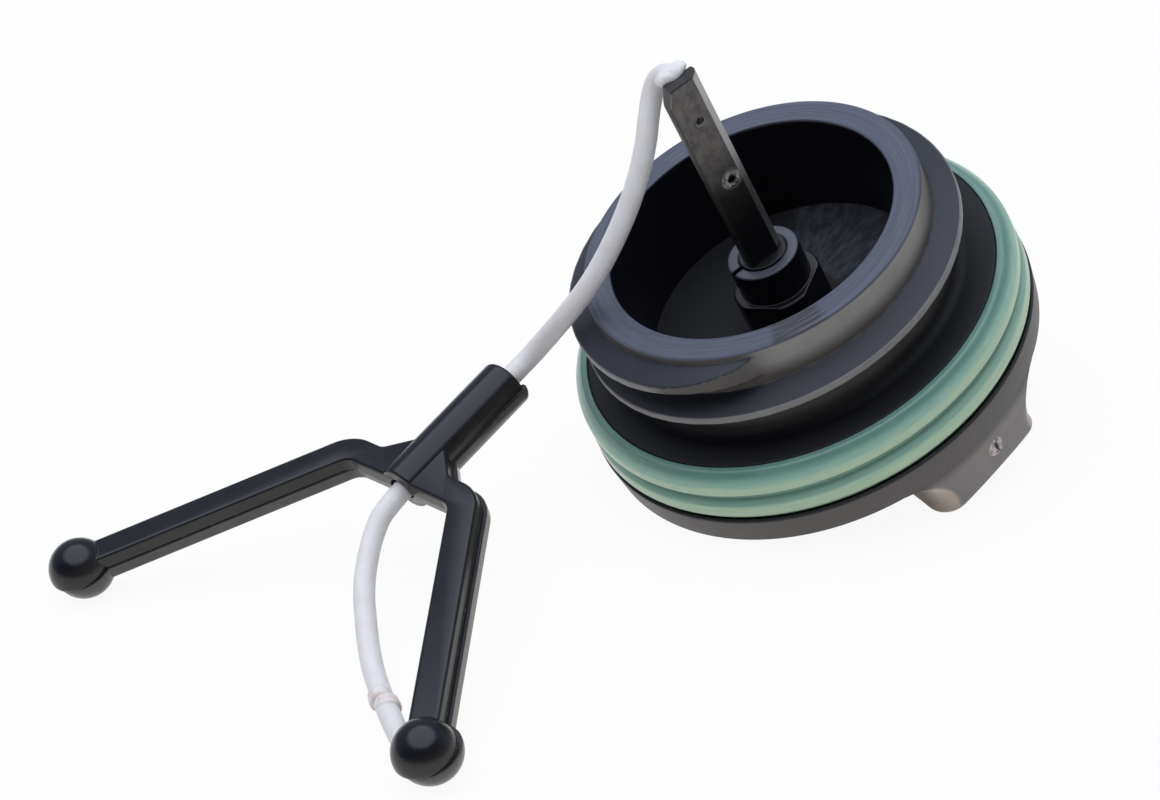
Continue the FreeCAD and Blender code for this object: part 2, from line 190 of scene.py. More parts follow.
class Finish(Tree):
    """One material, with its Principled shader."""

    def __init__(self, name):
        self.material = bpy.data.materials.new(name)
        self.material.use_nodes = True
        super().__init__(self.material.node_tree)
        self.shader = self.nodes.nodes["Principled BSDF"]

    def paint(self, piece):
        """Makes this the only finish of a piece."""
        piece.data.materials.clear()
        piece.data.materials.append(self.material)
        if isinstance(piece.data, bpy.types.Mesh):
            for face in piece.data.polygons:
                face.material_index = 0

    def set(self, **values):
        for name, value in values.items():
            self.feed(self.shader.inputs[name.replace("_", " ")], value)

    def places(self, matrix):
        """Object coordinates in millimetres, in the frame of one piece."""
        place = self.node("ShaderNodeTexCoord", {}, {}, "Object")
        local = matrix.inverted()
        inputs = {"Vector": place, "Location": local.to_translation() / MM}
        inputs["Rotation"] = local.to_euler()
        inputs["Scale"] = (1 / MM, 1 / MM, 1 / MM)
        return self.node("ShaderNodeMapping", {"vector_type": "POINT"}, inputs)

    def noise(self, place, scale, detail, roughness=0.5):
        inputs = {"Vector": place, "Scale": scale, "Detail": detail, "Roughness": roughness}
        return self.node("ShaderNodeTexNoise", {"noise_dimensions": "3D"}, inputs)

    def vector(self, x, y, z):
        return self.node("ShaderNodeCombineXYZ", {}, [x, y, z])

    def edges(self, radius):
        """The normal with its edges rounded, and how far it differs from the true one."""
        soft = self.node("ShaderNodeBevel", {"samples": 8}, {"Radius": radius * MM})
        true = self.node("ShaderNodeNewGeometry", {}, {}, "Normal")
        same = self.node("ShaderNodeVectorMath", {"operation": "DOT_PRODUCT"}, [soft, true], "Value")
        return soft, 1 - same

    def facing(self, way):
        """How far the surface faces one way, from -1 to 1."""
        true = self.node("ShaderNodeNewGeometry", {}, {}, "Normal")
        return self.node("ShaderNodeVectorMath", {"operation": "DOT_PRODUCT"}, [true, way], "Value")

    def bump(self, height, distance, normal=None):
        inputs = {"Height": height, "Distance": distance * MM}
        if normal is not None:
            inputs["Normal"] = normal
        return self.node("ShaderNodeBump", {}, inputs)


def link(name, data):
    piece = bpy.data.objects.new(name, data)
    bpy.context.scene.collection.objects.link(piece)
    return piece


cord_curve = bpy.data.curves.new("cord", "CURVE")
cord_curve.dimensions = "3D"
spline = cord_curve.splines.new("NURBS")
spline.points.add(len(cord_points) - 1)
for point, place in zip(spline.points, cord_points):
    point.co = (*place, 1)
spline.order_u = 3
spline.use_endpoint_u = True
spline.resolution_u = 12
cord_curve.bevel_depth = cord_diameter / 2
cord_curve.bevel_resolution = 6
cord_curve.use_fill_caps = True
cord = link("cord", cord_curve)

cord_dull = (0.90, 0.84, 0.82)
cord_clear = (0.98, 0.94, 0.92)
nylon = Finish("cord_nylon")
place = nylon.places(Matrix.Identity(4))
haze = nylon.noise(place, 0.45, 4)
fuzz = nylon.noise(place, 3.5, 5, 0.7)
clear = nylon.band(haze * 0.6 + fuzz * 0.4, 0.3, 0.7)
nylon.set(
    Base_Color=nylon.blend(clear, cord_dull, cord_clear),
    Roughness=0.30 + 0.25 * fuzz,
    Normal=nylon.bump(fuzz, 0.10),
    Subsurface_Weight=0.5,
    Subsurface_Radius=(1.0, 0.95, 0.95),
    Subsurface_Scale=0.6 * MM,
    IOR=1.5,
)
nylon.paint(cord)
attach(cord, "swivel")
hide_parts("tether_cord")


# Stop bead: pale plastic, moulded on the cord's tail as two short lumps.
# They are a little out of line, and keep the fork from coming off.
bead_radius = 1.2
bead_length = 3.2
bead_offset = 0.17
bead_overlap = 0.1
bead_taper = 0.1
bead_round = 0.4
bead_run = 18
bead_dull = (0.80, 0.66, 0.60)
bead_clear = (0.92, 0.86, 0.84)


def rounded(corners, steps=5):
    """Outline from corners of (x, y, round), where a round corner becomes an arc."""
    points = []
    for index, (x, y, radius) in enumerate(corners):
        corner = Vector((x, y))
        if radius == 0:
            points.append(corner)
            continue
        before = (Vector(corners[index - 1][:2]) - corner).normalized()
        after = (Vector(corners[(index + 1) % len(corners)][:2]) - corner).normalized()
        half = before.angle(after) / 2
        centre = corner + (before + after).normalized() * radius / math.sin(half)
        start = corner + before * radius / math.tan(half) - centre
        end = corner + after * radius / math.tan(half) - centre
        for step in range(steps + 1):
            points.append(centre + start.lerp(end, step / steps).normalized() * radius)
    return points


def loops_mesh(name, loops, matrix, ring=False):
    """Closed skin over loops of equal length, in millimetres. In a ring, the last joins the first."""
    weld_gap = 0.0005 * MM
    sliver = 0.0002 * MM
    mesh = bmesh.new()
    rows = [[mesh.verts.new(matrix @ (point * MM)) for point in loop] for loop in loops]
    pairs = list(zip(rows, rows[1:]))
    if ring:
        pairs.append((rows[-1], rows[0]))
    else:
        mesh.faces.new(reversed(rows[0]))
        mesh.faces.new(rows[-1])
    for low, high in pairs:
        for index in range(len(low)):
            after = (index + 1) % len(low)
            mesh.faces.new((low[index], low[after], high[after], high[index]))
    bmesh.ops.remove_doubles(mesh, verts=mesh.verts, dist=weld_gap)
    bmesh.ops.dissolve_degenerate(mesh, edges=mesh.edges, dist=sliver)
    bmesh.ops.recalc_face_normals(mesh, faces=mesh.faces)
    data = bpy.data.meshes.new(name)
    mesh.to_mesh(data)
    mesh.free()
    return link(name, data)


def lathe(name, profile, columns, matrix):
    """Solid of revolution about +Z from points of (radius, z)."""
    loops = []
    for column in range(columns):
        angle = math.tau * column / columns
        loops.append([Vector((x * math.cos(angle), x * math.sin(angle), z)) for x, z in profile])
    return loops_mesh(name, loops, matrix, True)


def bake(piece):
    """Puts the result of a piece's modifiers into its mesh."""
    seen = bpy.context.evaluated_depsgraph_get()
    data = bpy.data.meshes.new_from_object(piece.evaluated_get(seen))
    piece.modifiers.clear()
    piece.data = data


def combine(piece, other, operation):
    """Boolean of two closed meshes. The second one is used up."""
    modifier = piece.modifiers.new("combine", "BOOLEAN")
    modifier.solver = "MANIFOLD"
    modifier.operation = operation
    modifier.object = other
    bake(piece)
    bpy.data.objects.remove(other)


def smooth(piece, degrees):
    """Smooth shading, but for edges that are sharper than an angle."""
    for face in piece.data.polygons:
        face.use_smooth = True
    piece.data.set_sharp_from_angle(angle=math.radians(degrees))


def at(x, y, z):
    """The place of a point that is given in millimetres."""
    return Matrix.Translation(Vector((x, y, z)) * MM)


bead_start = Vector(cord_points[bead_run])
bead_end = Vector(cord_points[bead_run + 1])
bead_turn = (bead_end - bead_start).to_track_quat("Z", "Y").to_matrix().to_4x4()
bead_place = Matrix.Translation((bead_start + bead_end) / 2) @ bead_turn
lumps = []
for side, low in ((-1, -bead_length / 2), (1, -bead_overlap)):
    high = low + bead_length / 2 + bead_overlap
    corners = [
        (0, low, 0),
        (bead_radius - bead_taper, low, bead_round),
        (bead_radius, high, bead_round),
        (0, high, 0),
    ]
    lumps.append(lathe("bead", rounded(corners), 48, bead_place @ at(side * bead_offset, 0, 0)))
bead, other_lump = lumps
combine(bead, other_lump, "UNION")
smooth(bead, 60)
pale = Finish("bead_plastic")
place = pale.places(Matrix.Identity(4))
mottle = pale.noise(place, 1.1, 4)
grain = pale.noise(place, 5.0, 4)
pale.set(
    Base_Color=pale.blend(pale.band(mottle, 0.35, 0.65), bead_dull, bead_clear),
    Roughness=0.45,
    Normal=pale.bump(grain, 0.06),
    Subsurface_Weight=0.4,
    Subsurface_Radius=(1.0, 0.7, 0.6),
    Subsurface_Scale=0.7 * MM,
)
pale.paint(bead)
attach(bead, "swivel")
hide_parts("cord_stop")


# Cap body: one black moulding, with its disc, seal seat, threaded neck and cup.
# The single thread start rises from the neck's wall, and tapers out at both ends.
axis = Vector(joints["stem_swivel"]["axis"]).normalized()
across = Vector((0, 1, 0)).cross(axis).normalized()
cap_turn = Matrix((across, axis.cross(across), axis)).transposed().to_4x4()
cap_place = Matrix.Translation(Vector(joints["stem_swivel"]["pos_m"])) @ cap_turn

disc_radius = 23.0
disc_draft = 0.34
disc_thickness = 3.2
disc_round = 0.15
recess_radius = disc_radius - 0.05
recess_depth = 0.3
seat_radius = 20.9
seat_height = 9.0
seat_lip = 0.45
neck_radius = 17.37
neck_wall = 2.9
neck_foot_round = 1.2
rim_height = 19.65
rim_round = 0.35
cup_floor = 8.0
cup_draft = 0.1
wall_rows = 110

# The corners of its section, as radius, height and rounding.
inner = neck_radius - neck_wall
corners = [
    (0, 0, 0),
    (disc_radius, 0, disc_round),
    (disc_radius + disc_draft, disc_thickness, disc_round),
    (recess_radius, disc_thickness, 0.08),
    (recess_radius, disc_thickness - recess_depth, 0),
    (seat_radius, disc_thickness - recess_depth, 0),
    (seat_radius, seat_height - 0.8, 0),
    (seat_radius + seat_lip, seat_height - 0.55, 0),
    (seat_radius + seat_lip, seat_height, 0.18),
    (neck_radius, seat_height, neck_foot_round),
    (neck_radius, rim_height, rim_round),
    (inner, rim_height, rim_round),
    (inner - cup_draft, cup_floor, 0.15),
    (0, cup_floor, 0),
]
outline = rounded(corners)
profile = []
for point, after in zip(outline, outline[1:] + outline[:1]):
    on_wall = abs(point.x - neck_radius) < 0.001 and abs(after.x - neck_radius) < 0.001
    rows = wall_rows if on_wall else 1
    profile += [point.lerp(after, row / rows) for row in range(rows)]
cap = lathe("cap", profile, 360, Matrix.Identity(4))

# The thread is a rule: at each place of the neck's wall, how far it stands out.
thread_inputs = {
    "Neck radius": neck_radius * MM,
    "Height": 2.48 * MM,
    "Crest half": 0.34 * MM,
    "Root round": 0.16 * MM,
    "Upper slope": math.tan(math.radians(22.0)),
    "Lower slope": math.tan(math.radians(31.0)),
    "Pitch": 4.0 * MM,
    "Start height": 17.95 * MM,
    "Start turn": 222.0 / 360,
    "End turn": -255.0 / 360,
    "Run in": 42.0 / 360,
    "Run in power": 0.6,
}
wall_slack = 0.002 * MM
thread_tree = bpy.data.node_groups.new("thread", "GeometryNodeTree")
thread_tree.interface.new_socket("Geometry", in_out="INPUT", socket_type="NodeSocketGeometry")
thread_tree.interface.new_socket("Geometry", in_out="OUTPUT", socket_type="NodeSocketGeometry")
for name in thread_inputs:
    thread_tree.interface.new_socket(name, in_out="INPUT", socket_type="NodeSocketFloat")
thread_tree.interface.new_socket("Material", in_out="INPUT", socket_type="NodeSocketMaterial")
thread = Tree(thread_tree)
given_node = thread_tree.nodes.new("NodeGroupInput")
given = {output.name: Value(thread, output) for output in given_node.outputs if output.name}
place = thread.node("GeometryNodeInputPosition", {}, {})
x, y, z = thread.apart(place)
radius = x.hypot(y)
azimuth = y.math("ARCTAN2", x) / math.tau
tallest = given["Height"] + given["Root round"]
standing = None
for whole_turns in (-1, 0, 1):
    turns = azimuth + whole_turns
    from_start = given["Start turn"] - turns
    from_end = turns - given["End turn"]
    run = from_start.math("MINIMUM", from_end) / given["Run in"]
    run = run.math("MINIMUM", 1.0).math("MAXIMUM", 0.0)
    rise = (run * (math.pi / 2)).math("SINE").math("POWER", given["Run in power"])
    middle = given["Start height"] - from_start * given["Pitch"]
    above = (z - middle - given["Crest half"] * rise) / given["Upper slope"]
    beneath = (middle - z - given["Crest half"] * rise) / given["Lower slope"]
    away = above.math("MAXIMUM", beneath).math("MAXIMUM", 0.0)
    height = (tallest - away).math("MINIMUM", tallest * rise)
    standing = height if standing is None else standing.math("MAXIMUM", height)
standing = standing.math("MAXIMUM", 0.0)
twice_round = given["Root round"] * 2
below = standing.math("MINIMUM", twice_round)
standing = below * below / (twice_round * 2) + (standing - twice_round).math("MAXIMUM", 0.0)
on_wall = (radius - given["Neck radius"]).math("ABSOLUTE").math("LESS_THAN", wall_slack)
share = standing * on_wall / radius
offset = thread.node("ShaderNodeCombineXYZ", {}, [x * share, y * share, 0.0])
moved = thread.node("GeometryNodeSetPosition", {}, {"Geometry": given["Geometry"], "Offset": offset})
whole = thread.node("GeometryNodeRealizeInstances", {}, [moved])
whole = thread.node("GeometryNodeSetMaterial", {}, {"Geometry": whole, "Material": given["Material"]})
output = thread_tree.nodes.new("NodeGroupOutput")
thread.feed(output.inputs["Geometry"], whole)

black = Finish("cap_plastic")
modifier = cap.modifiers.new("thread", "NODES")
modifier.node_group = thread_tree
for item in thread_tree.interface.items_tree:
    if item.in_out == "INPUT" and item.name in thread_inputs:
        modifier[item.identifier] = thread_inputs[item.name]
    if item.name == "Material":
        modifier[item.identifier] = black.material
bake(cap)
cap.data.transform(cap_place)

# Grip bar: its ends are flush with the disc, and its sides are scooped for the fingers.
grip_buried = 5.5
grip_depth = 5.784
grip_neck = 6.7
grip_waist = 2.6
grip_root = 3.0
grip_flare = 4.2
grip_reach = 20.6
grip_taper = 0.6
grip_corner = 0.45
grip_corner_growth = 0.45
grip_flatness = 0.0226
grip_round = 0.9
grip_turn = Matrix.Rotation(math.radians(-2.0), 4, "Z")
wheel = (grip_reach ** 2 + grip_waist ** 2) / (2 * grip_waist)
wheel_x = grip_neck - grip_waist + wheel


def grip_loop(z, corner, inset, end):
    """Outline of the bar at one depth, with its four corners rounded."""
    rim = wheel - grip_root
    if -grip_root < z < 0:
        rim += math.sqrt(grip_root ** 2 - (grip_root + z) ** 2)
    elif z <= -grip_root:
        rim = wheel - grip_flare + math.sqrt(grip_flare ** 2 - (grip_root + z) ** 2)
    rim += inset
    end -= inset
    # The corner's arc touches the scoop from outside and the end from inside.
    far = rim + corner
    near = end - corner
    x = (near ** 2 - far ** 2 + wheel_x ** 2) / (2 * wheel_x)
    centre = Vector((x, math.sqrt(near ** 2 - x ** 2)))
    reach = math.atan2(centre.y, wheel_x - x)
    start = -reach
    stop = math.atan2(centre.y, centre.x)
    quarter = []
    for step in range(24):
        angle = reach * step / 24
        quarter.append(Vector((wheel_x - rim * math.cos(angle), rim * math.sin(angle))))
    for step in range(9):
        angle = start + (stop - start) * step / 8
        quarter.append(centre + Vector((math.cos(angle), math.sin(angle))) * corner)
    for step in range(1, 13):
        angle = stop + (math.pi / 2 - stop) * step / 12
        quarter.append(Vector((end * math.cos(angle), end * math.sin(angle))))
    # The end is round where it meets the disc, and flat at the tip.
    for point in quarter:
        near_end = (point.y / disc_radius) ** 4
        point.y -= grip_flatness * point.x ** 2 * near_end * min(0, z) / grip_depth
    half = quarter + [Vector((-p.x, p.y)) for p in reversed(quarter[:-1])]
    whole = half + [Vector((-p.x, -p.y)) for p in half[1:-1]]
    return [Vector((p.x, p.y, z)) for p in whole]


# It starts inside the disc, comes out a hair within the disc's wall, and runs down to its tip.
buried_end = seat_radius - 1.2
hair = 0.004
loops = [grip_loop(z, grip_corner, 0, buried_end) for z in (grip_buried, 0.5)]
for z in (0.5, 0.15, 0.0):
    disc_end = disc_radius + disc_draft * z / disc_thickness
    loops.append(grip_loop(z, grip_corner, 0, disc_end - hair))
depths = [grip_root * (math.cos(math.radians(degrees)) - 1) for degrees in range(8, 91, 6)]
depths += [-grip_root - (grip_depth - grip_root - grip_round) * step / 8 for step in range(1, 9)]
for z in depths:
    corner = grip_corner - grip_corner_growth * z
    loops.append(grip_loop(z, corner, 0, disc_radius + grip_taper * z / grip_depth))
tip_end = disc_radius - grip_taper * (1 - grip_round / grip_depth)
tip_corner = grip_corner + grip_corner_growth * (grip_depth - grip_round)
for step in range(1, 9):
    angle = math.radians(90 * step / 8)
    inset = grip_round * (1 - math.cos(angle))
    z = grip_round * (1 - math.sin(angle)) - grip_depth
    loops.append(grip_loop(z, tip_corner - inset * 0.4, inset, tip_end))
grip = loops_mesh("grip", loops, cap_place @ grip_turn)


def block(name, low, high, matrix):
    """Plain box between two corners, in millimetres."""
    plan = ((low[0], low[1]), (high[0], low[1]), (high[0], high[1]), (low[0], high[1]))
    return loops_mesh(name, [[Vector((x, y, z)) for x, y in plan] for z in (low[2], high[2])], matrix)


# Finger wells: hollows in the disc on both sides of the grip.
well_radius = seat_radius - 2.4
well_depth = 5.0
well_arc = [(0, -1), (well_radius, -1), (well_radius, well_depth), (0, well_depth)]
combine(cap, lathe("well", well_arc, 180, cap_place), "DIFFERENCE")
combine(cap, grip, "UNION")

# Socket: the round post on a squared foot in the cup, whose collar holds the swivel.
foot_radius = 4.5
foot_half = 3.95
foot_top = 12.2
foot_turn = cap_place @ Matrix.Rotation(math.radians(20), 4, "Z")
post_radius = 3.65
post_top = 16.0
head_room = 3.3
head_low = 9.2
head_top = 11.7
collar_bore = 2.5
collar_mouth = 2.75
slit_half = 0.3
slit_low = 13.8
slit_inner = 2.2
slit_outer = 6.0
slit_turn = cap_place @ Matrix.Rotation(math.radians(165), 4, "Z")
below_floor = cup_floor - 1
above_post = post_top + 1


def column(name, radius, top, edge):
    """Round column on the cup's floor, with a rounded top edge."""
    corners = [(0, below_floor, 0), (radius, below_floor, 0), (radius, top, edge), (0, top, 0)]
    return lathe(name, rounded(corners), 96, cap_place)


foot = column("foot", foot_radius, foot_top, 0.25)
square = block("square", (-foot_half, -foot_half, 0), (foot_half, foot_half, rim_height), foot_turn)
combine(foot, square, "INTERSECT")
combine(cap, foot, "UNION")
combine(cap, column("post", post_radius, post_top, 0.22), "UNION")
hollow_arc = [
    (0, head_low),
    (head_room, head_low),
    (head_room, head_top),
    (collar_bore, head_top),
    (collar_bore, post_top - 0.15),
    (collar_mouth, post_top + 0.1),
    (collar_mouth, above_post),
    (0, above_post),
]
combine(cap, lathe("hollow", hollow_arc, 96, cap_place), "DIFFERENCE")
slit_start = (slit_inner, -slit_half, slit_low)
slit_end = (slit_outer, slit_half, above_post)
combine(cap, block("slit", slit_start, slit_end, slit_turn), "DIFFERENCE")

# Gate mark: the torn stub on the grip's end where the plastic came into the mould.
# Its section is a low ring round a dent, and noise tears it. Without a fixed seed the noise
# would differ in each run.
tear_seed = 7
noise.seed_set(tear_seed)
gate_x = -0.25
gate_z = -2.4
gate_arc = [
    (0, -0.6),
    (1.02, -0.6),
    (0.98, 0.0),
    (0.84, 0.2),
    (0.66, 0.22),
    (0.45, 0.06),
    (0.20, 0.0),
    (0, 0.12),
]
gate_face = disc_radius + grip_taper * gate_z / grip_depth
lying = Matrix.Rotation(math.pi / 2, 4, "X")


def tear(piece, size, depth):
    """Moves the points of a small piece by noise, in millimetres."""
    for vertex in piece.data.vertices:
        vertex.co += noise.noise_vector(vertex.co / (size * MM)) * depth * MM


gate = lathe("gate", gate_arc, 40, cap_place @ at(gate_x, -gate_face, gate_z) @ lying)
tear(gate, 0.45, 0.12)
combine(cap, gate, "UNION")
smooth(cap, 34)

# Its colours: plain plastic first, then the places that are rubbed or torn, and those painted with
# light and shade.
plain_dark = (0.004, 0.004, 0.006)
plain_pale = (0.010, 0.010, 0.014)
neck_painted_shade = (0.010, 0.009, 0.008)
neck_side_painted_light = (0.090, 0.080, 0.070)
neck_painted_highlight = (0.31, 0.295, 0.27)
neck_top_painted_sky = (0.030, 0.033, 0.045)
crest_painted_highlight = (0.26, 0.25, 0.24)
rim_dark = (0.062, 0.067, 0.096)
rim_pale = (0.125, 0.135, 0.185)
patch_dark = (0.010, 0.010, 0.013)
patch_pale = (0.12, 0.125, 0.15)
disc_dark = (0.080, 0.073, 0.066)
disc_pale = (0.150, 0.138, 0.126)
grip_lit_dark = (0.215, 0.197, 0.183)
grip_lit_pale = (0.350, 0.322, 0.299)
scoop_painted_bounce = (0.66, 0.55, 0.47)
floor_dark = (0.012, 0.013, 0.018)
floor_lit_streak = (0.045, 0.048, 0.062)
collar_sky_sheen = (0.085, 0.090, 0.115)
worn_grey = (0.30, 0.285, 0.27)
edge_grey = (0.50, 0.48, 0.46)
torn_pale = (0.80, 0.68, 0.64)
torn_hole = (0.02, 0.015, 0.015)

place = black.places(cap_place)
soft_normal, edge = black.edges(0.20)
up = black.facing(axis)
x, y, z = black.apart(place)
radius = x.hypot(y)
azimuth = y.math("ARCTAN2", x)
cloud = black.noise(place, 0.28, 5, 0.6)
grain = black.noise(place, 2.6, 5, 0.7)
rings = black.noise(black.vector(azimuth * 1.4, radius * 9.0, z * 9.0), 1.0, 4, 0.65)
spokes = black.noise(black.vector(azimuth * 14.0, radius * 0.5, z * 2.0), 1.0, 4, 0.6)

# The neck with its thread is painted with light and shade, most of all on the side of the view.
tone = black.blend(cloud, plain_dark, plain_pale)
neck = black.band(radius, neck_radius - 0.15, neck_radius - 0.05) * black.band(z, 9.6, 11.0)
# Faces turned down get painted shade, and the sides get painted light from the table.
neck_tone = black.blend(black.band(up, -0.7, 0.0), neck_painted_shade, neck_side_painted_light)
# A painted highlight lies on the wall under the rim, on the side of the view.
lit = black.within(azimuth, -2.5, -2.3, -1.3, -0.6) * black.band(z, 15.8, 18.0)
neck_tone = black.blend(lit, neck_tone, neck_painted_highlight)
# Faces turned up are painted bluish, a painted reflection of the sky, and the crest is a thin painted
# highlight.
neck_tone = black.blend(black.band(up, 0.2, 0.8), neck_tone, neck_top_painted_sky)
neck_tone = black.blend(black.band(radius, 19.65, 19.8), neck_tone, crest_painted_highlight)
tone = black.blend(neck * (0.6 + 0.6 * cloud), tone, neck_tone)

# The rim is scratched in pale rings, with one patch that is scraped, and its blue tint is a painted
# reflection of the sky.
rim = black.band(z, rim_height - 0.2, rim_height - 0.06)
rim_tone = black.blend(black.band(rings, 0.3, 0.7), rim_dark, rim_pale)
patch = black.within(azimuth, -2.30, -2.26, -2.0, -1.93) * black.band(radius, 14.2, 14.5)
patch_tone = black.blend(black.band(rings, 0.42, 0.58), patch_dark, patch_pale)
rim_tone = black.blend(patch, rim_tone, patch_tone)
tone = black.blend(rim, tone, rim_tone)

# The disc's outside is a matte grey, the grip below it is paler with painted light from the table, and
# its scoops are palest, a painted warm bounce.
in_wells = (1 - black.band(z, 5.2, 5.6)) * (1 - black.band(radius, 18.7, 19.0))
# From 2.8 mm up, the disc's side fades to black, a painted shadow of the gap under the seal.
shell = (1 - black.band(z, 2.8, 2.95)).math("MAXIMUM", in_wells)
wear = cloud * 0.6 + grain * 0.4
disc_tone = black.blend(wear, disc_dark, disc_pale)
shell_tone = black.blend(wear, grip_lit_dark, grip_lit_pale)
shell_tone = black.blend(black.band(z, -1.5, 0.2), shell_tone, disc_tone)
# The scoops, turned sideways and down to the table, get the painted bounce light.
aside = black.facing(across).math("ABSOLUTE")
scoop = black.band(aside, 0.25, 0.55) * (1 - black.band(z, -1.2, -0.3))
shell_tone = black.blend(scoop, shell_tone, scoop_painted_bounce)
tone = black.blend(shell, tone, shell_tone)

# One sector of the cup's floor is painted as a pool of light with streaks running outwards, and the
# collar's top is painted bluish in patches, a painted reflection of the sky.
floor_zone = black.within(z, cup_floor - 0.3, cup_floor - 0.1, cup_floor + 0.02, cup_floor + 0.12)
lit_sector = black.within(azimuth, -0.47, -0.40, 0.62, 0.72) * black.band(radius, 4.9, 5.6)
floor_tone = black.blend(black.band(spokes, 0.35, 0.7), floor_dark, floor_lit_streak)
tone = black.blend(floor_zone * lit_sector, tone, floor_tone)
collar = black.within(radius, 2.4, 2.5, 3.7, 3.8) * black.band(z, post_top - 0.25, post_top - 0.05)
tone = black.blend(collar * (0.5 + grain), tone, collar_sky_sheen)

# Worn edges show paler in broken lines, but not in the cup's corner.
worn = black.band(edge + 0.12 * (grain - 0.5), 0.03, 0.16) * black.band(cloud, 0.38, 0.55)
cup_corner = black.within(radius, 11.0, 12.5, 16.0, 17.0) * (1 - black.band(z, 9.5, 10.5))
worn = worn * (1 - cup_corner)
tone = black.blend(worn * (0.25 + 0.75 * neck.math("MAXIMUM", rim)), tone, worn_grey)
# The rim's outer edge gets a broken pale line, partly wear and partly a painted highlight on its
# rounded edge, left out at the sides.
rim_edge = black.band(z, 19.1, 19.35) * black.band(radius, 16.9, 17.1)
rim_edge = rim_edge * black.band(edge + 0.06 * grain, 0.04, 0.12)
rim_edge = rim_edge * (1 - black.band(azimuth.math("ABSOLUTE"), 2.7, 3.0))
rim_edge = rim_edge * (1 - black.band(azimuth, -0.3, 0.3))
tone = black.blend(rim_edge * (0.35 + 0.65 * cloud), tone, edge_grey)

# The torn gate mark is nearly white in specks, with a dark hole and ripples round it.
gate_away = (x - gate_x).hypot(z - gate_z)
near_gate = (1 - black.band(gate_away, 0.8, 1.1)) * (1 - black.band(y, -21.0, -20.0))
specks = black.noise(place, 2.0, 4, 0.7)
tone = black.blend(near_gate * black.band(specks, 0.46, 0.54), tone, torn_pale)
hole_away = (x - gate_x - 0.15).math("ABSOLUTE") + 0.4 * gate_away
tone = black.blend(near_gate * (1 - black.band(hole_away, 0.2, 0.4)), tone, torn_hole)
ripples = (gate_away * 9.0 + cloud * 4.0).math("SINE") * (1 - black.band(gate_away, 1.0, 4.5)) * shell
height = grain * (0.35 + shell * 0.6 + neck * 0.4) + rings * rim * 1.2 + ripples * 0.08
flange = black.within(z, 8.5, 8.8, 10.4, 11.6) * black.band(radius, 17.0, 17.3)
gloss_lost = 0.14 * shell + 0.12 * neck + 0.10 * rim + 0.10 * cloud + 0.30 * flange + 0.45 * floor_zone
black.set(
    Base_Color=tone,
    Roughness=0.27 + gloss_lost,
    Normal=black.bump(height, 0.022, soft_normal),
    IOR=1.42,
)
black.paint(cap)
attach(cap, "cap")
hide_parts("cap_body")


# Seal ring: green rubber with two rounded lips and a groove between them.
# It is stretched over the seat, and its foot stands in the disc's recess.
seal_low = disc_thickness - recess_depth
seal_bore = seat_radius + 0.05
seal_fold = seat_radius + 0.5
seal_lit = (0.56, 0.73, 0.48)
seal_top = (0.19, 0.46, 0.42)
seal_groove_shade = (0.050, 0.19, 0.16)
seal_streak = (0.40, 0.58, 0.44)

# The corners of its section, as radius, height and rounding.
seal_corners = [
    (seal_bore, seal_low, 0),
    (22.55, seal_low, 0.2),
    (23.25, 3.9, 0.55),
    (23.2, 5.1, 0.45),
    (22.35, 5.9, 0.3),
    (23.15, 6.75, 0.45),
    (23.1, 7.75, 0.6),
    (22.05, seat_height, 0.5),
    (seal_fold, seat_height, 0.12),
    (seal_fold, seat_height - 0.75, 0),
    (seal_bore, seat_height - 0.85, 0),
]
seal = lathe("seal", rounded(seal_corners, 7), 360, cap_place)
smooth(seal, 50)
rubber = Finish("seal_rubber")
place = rubber.places(cap_place)
x, y, z = rubber.apart(place)
radius = x.hypot(y)
azimuth = y.math("ARCTAN2", x)
up = rubber.facing(axis)
streaks = rubber.noise(rubber.vector(azimuth * 7.0, radius * 3.0, z * 3.0), 1.0, 4)
cloud = rubber.noise(place, 0.15, 4)
grain = rubber.noise(place, 2.0, 4, 0.65)
# Faces turned down and sideways are painted pale yellow-green as light from the table, faces turned up
# stay teal, and pale streaks are partly painted highlights.
tone = rubber.blend(rubber.band(up + 0.9 * (streaks - 0.5), -0.1, 1.15), seal_lit, seal_top)
# Inward of the lips, in the groove, it is painted dark green, a painted shade.
tone = rubber.blend(rubber.band(radius, 22.3, 22.95), seal_groove_shade, tone)
tone = rubber.blend(streaks * 0.3 + 0.25 * cloud, tone, seal_streak)
rubber.set(
    Base_Color=tone,
    Roughness=0.32 + 0.2 * streaks,
    Normal=rubber.bump(streaks * 0.5 + grain * 0.5, 0.03),
    Coat_Weight=0.35,
    Coat_Roughness=0.22,
    Subsurface_Weight=0.1,
    Subsurface_Radius=(0.6, 1.0, 0.8),
    Subsurface_Scale=0.5 * MM,
    IOR=1.47,
)
rubber.paint(seal)
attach(seal, "cap")
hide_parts("seal_ring")


# Swivel stem: black moulding, a flat bar on a round root whose head turns in the socket.
# Its end is cut square with one corner clipped off, and the cord's end is melted onto it.
stem_half_width = 2.05
stem_front = 1.2
stem_back = 0.3
stem_chamfer = 0.8
stem_round = 0.25
stem_top = 39.05
stem_low = 16.3
stem_clip = 0.8
stem_clip_height = 1.9
stem_turn = -15.5
stem_place = cap_place @ Matrix.Rotation(math.radians(stem_turn), 4, "Z")

